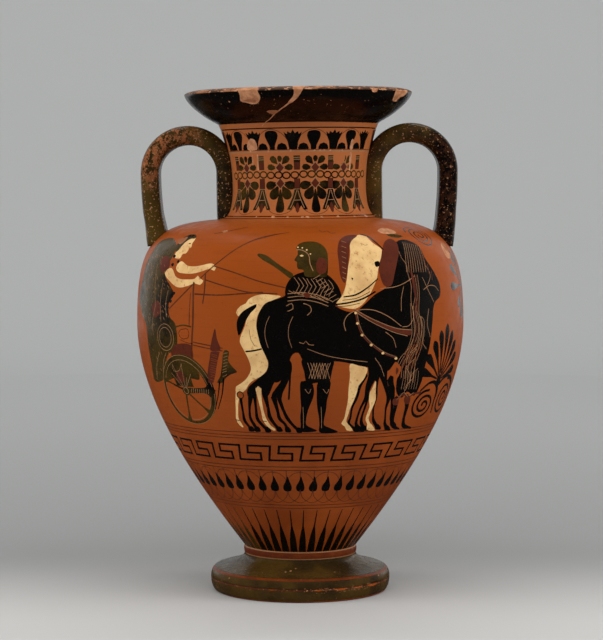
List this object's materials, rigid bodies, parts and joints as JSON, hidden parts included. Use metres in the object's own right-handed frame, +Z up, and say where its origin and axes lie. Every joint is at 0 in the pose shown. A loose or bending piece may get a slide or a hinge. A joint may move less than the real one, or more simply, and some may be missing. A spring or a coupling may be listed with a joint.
{
  "type": "neck amphora",
  "caption": "Hollow fired-clay jar with an ovoid body, low disc foot, flared neck, wide mouth and a strap handle on each side.",
  "frame": {"origin": "centre of the foot's resting ring, on the surface that the jar stands on", "axes": "+Z up along the axis of the body; the handles lie along X; the side painted with the horses and the chariot faces -Y"},
  "size_m": [0.2694, 0.2694, 0.4132],
  "materials": {
    "fired_clay": "orange fired clay with a satin sheen, painted in glossy black slip with cream-white and purple-red details"
  },
  "bodies": {
    "root": {"amphora": "fired_clay"}
  },
  "joints": []
}
